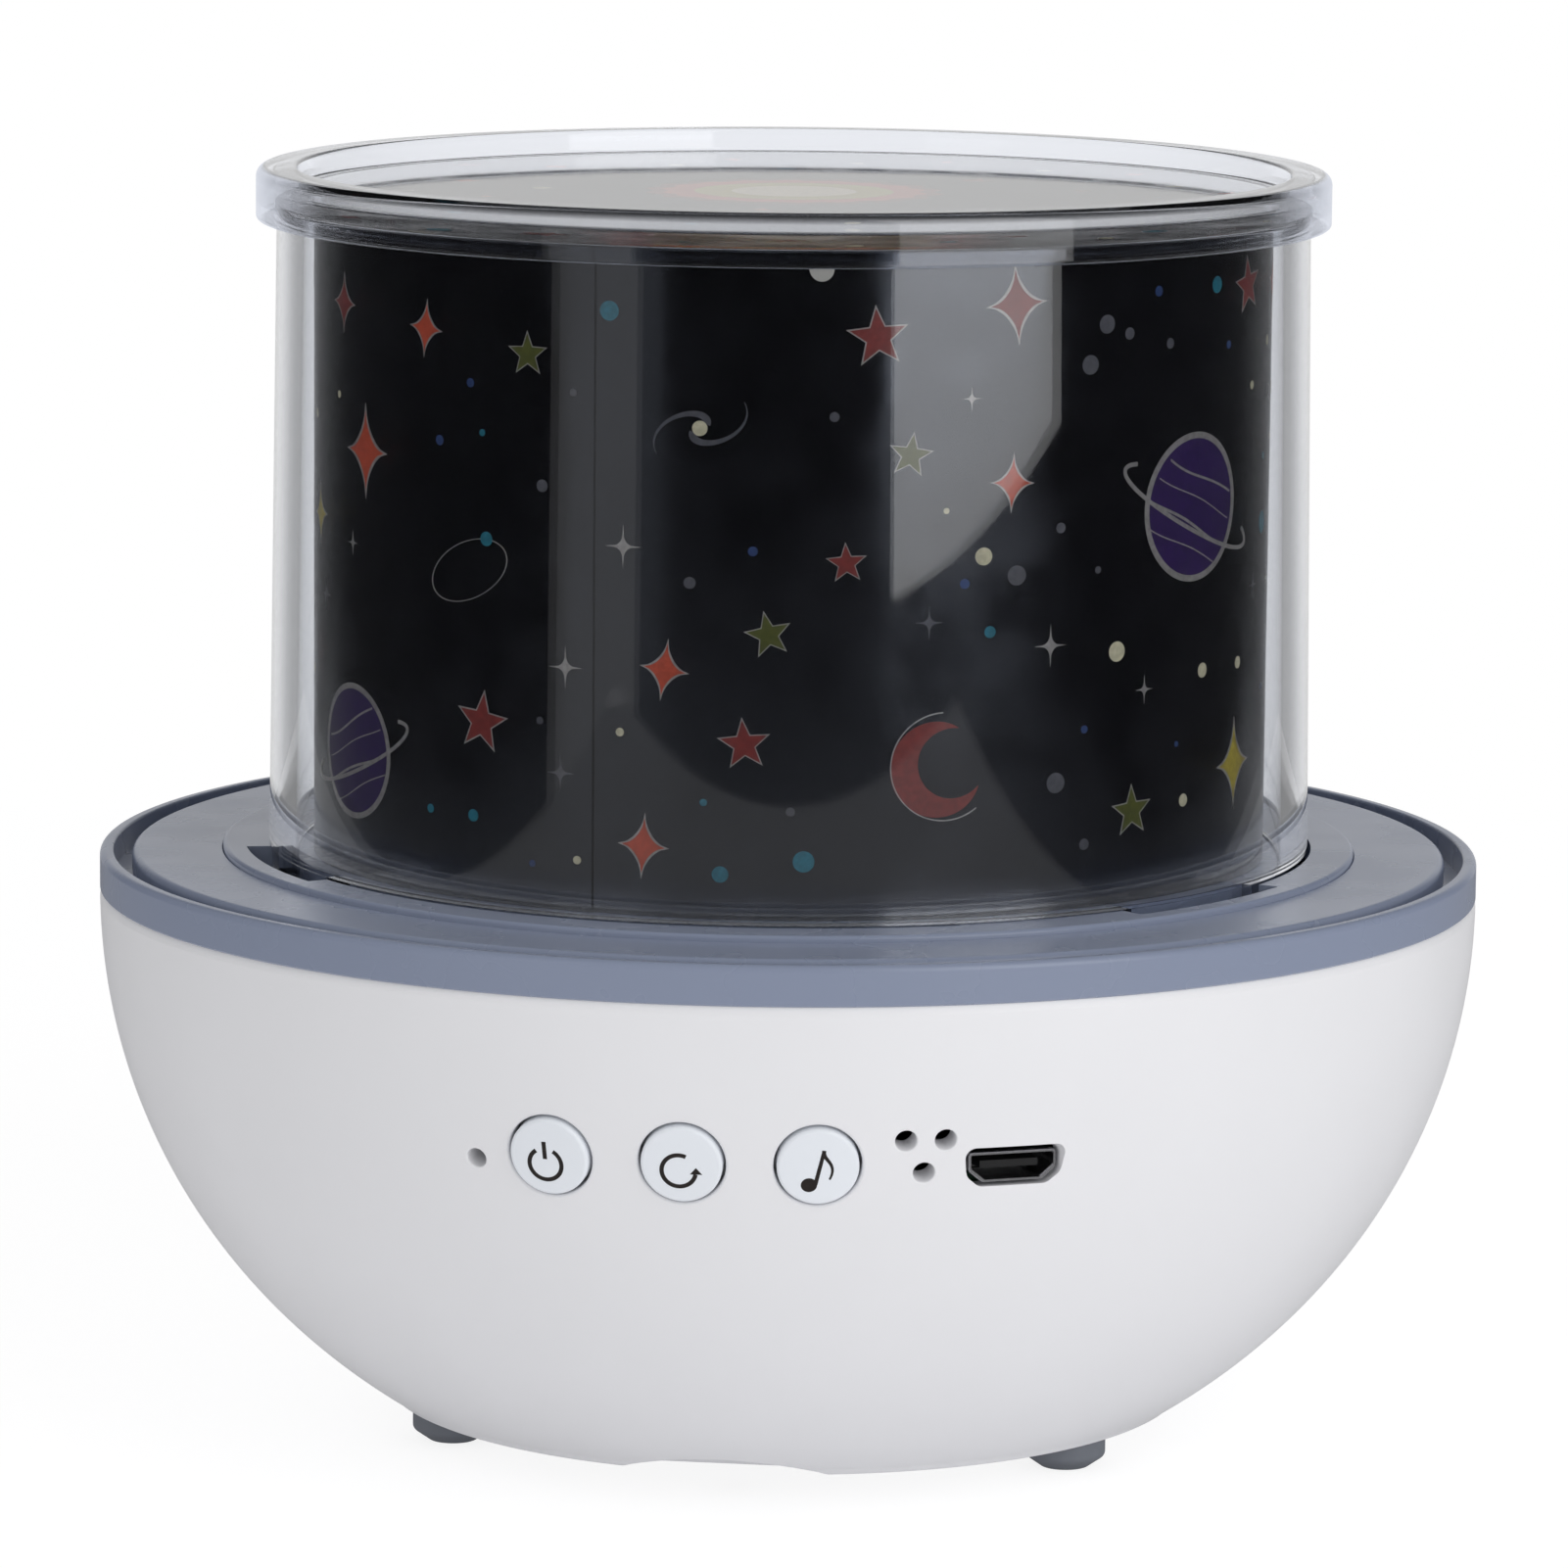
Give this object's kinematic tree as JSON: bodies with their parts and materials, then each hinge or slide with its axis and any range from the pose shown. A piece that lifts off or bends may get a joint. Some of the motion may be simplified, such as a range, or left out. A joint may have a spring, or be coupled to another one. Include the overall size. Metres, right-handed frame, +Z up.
{
  "type": "planetarium projector",
  "caption": "Table-top star projector: round white bowl base with push buttons and a charging socket, a turning top plate, and a clear drum lined with a printed star film under a flat lid.",
  "frame": {"origin": "centre of the object on the surface it stands on", "axes": "+Z up; -Y is the front with the buttons; +X to the right seen from the front"},
  "size_m": [0.12, 0.12, 0.1101],
  "materials": {
    "white_shell": "satin moulded",
    "button_white": "semi gloss with printed signs",
    "slate_plastic": "satin moulded",
    "foot_rubber": "matte",
    "clear_plastic": "clear polished",
    "printed_film": "glossy printed",
    "screw_steel": "plated",
    "gear_plastic": "natural",
    "shaft_steel": "bright",
    "cell_jacket": "gloss",
    "board_green": "lacquered",
    "black_plastic": "satin",
    "magnet_steel": "plated",
    "cone_paper": "pulp",
    "white_board": "lacquered",
    "led_yellow": "clear coated",
    "milky_clear": "translucent"
  },
  "bodies": {
    "base": {"bowl_shell": "white_shell", "battery_door": "white_shell", "battery_door_screw": "screw_steel", "foot_front_left": "foot_rubber", "foot_front_right": "foot_rubber", "foot_rear": "foot_rubber", "deck_screws": "screw_steel", "battery_left": "cell_jacket", "battery_middle": "cell_jacket", "battery_right": "cell_jacket", "flat_contacts": "shaft_steel", "spring_contacts": "shaft_steel", "bezel_deck": "slate_plastic", "gearbox_case": "gear_plastic", "motor_can": "shaft_steel", "motor_screws": "screw_steel", "speaker_magnet": "magnet_steel", "speaker_basket": "black_plastic", "speaker_cone": "cone_paper", "control_board": "board_green", "power_switch": "black_plastic", "rotate_switch": "black_plastic", "music_switch": "black_plastic", "pilot_led": "led_yellow", "board_screws": "screw_steel", "charge_board": "board_green", "usb_shell": "shaft_steel", "usb_insert": "black_plastic", "lamp_post": "black_plastic", "lamp_post_screws": "screw_steel", "led_board": "white_board", "led_emitters": "led_yellow", "lamp_cap": "milky_clear"},
    "turntable": {"turntable_disc": "slate_plastic", "bayonet_plate": "slate_plastic", "plate_screws": "screw_steel", "drive_gear": "gear_plastic"},
    "pinion_shaft": {"pinion": "gear_plastic", "output_shaft": "shaft_steel"},
    "film": {"film_sleeve": "printed_film"},
    "cover": {"cover_tube": "clear_plastic"},
    "lid": {"lid": "clear_plastic", "top_film": "printed_film"},
    "power_key": {"power_button": "button_white"},
    "rotate_key": {"rotate_button": "button_white"},
    "music_key": {"music_button": "button_white"}
  },
  "joints": [
    {"name": "turntable_spin", "type": "hinge", "parent": "base", "child": "turntable", "pos_m": [0, 0, 0], "axis": [0, 0, 1], "continuous": true},
    {"name": "pinion_spin", "type": "hinge", "parent": "base", "child": "pinion_shaft", "pos_m": [0.02217, 0.0128, 0], "axis": [0, 0, 1], "continuous": true},
    {"name": "cover_twist", "type": "hinge", "parent": "turntable", "child": "film", "pos_m": [0, 0, 0], "axis": [0, 0, 1], "range_deg": [0, 76]},
    {"name": "cover_lift", "type": "slide", "parent": "film", "child": "cover", "axis": [0, 0, 1], "range_m": [0, 0.06]},
    {"name": "lid_lift", "type": "slide", "parent": "cover", "child": "lid", "axis": [0, 0, 1], "range_m": [0, 0.03]},
    {"name": "power_press", "type": "slide", "parent": "base", "child": "power_key", "axis": [0.1828, 0.949, 0.2568], "range_m": [0, 0.0005], "stiffness_N_per_m": 400},
    {"name": "rotate_press", "type": "slide", "parent": "base", "child": "rotate_key", "axis": [0, 0.9665, 0.2568], "range_m": [0, 0.0005], "stiffness_N_per_m": 400},
    {"name": "music_press", "type": "slide", "parent": "base", "child": "music_key", "axis": [-0.1828, 0.949, 0.2568], "range_m": [0, 0.0005], "stiffness_N_per_m": 400}
  ],
  "couplings": [
    {"joint": "pinion_spin", "follows": "turntable_spin", "ratio": -3.5714}
  ]
}
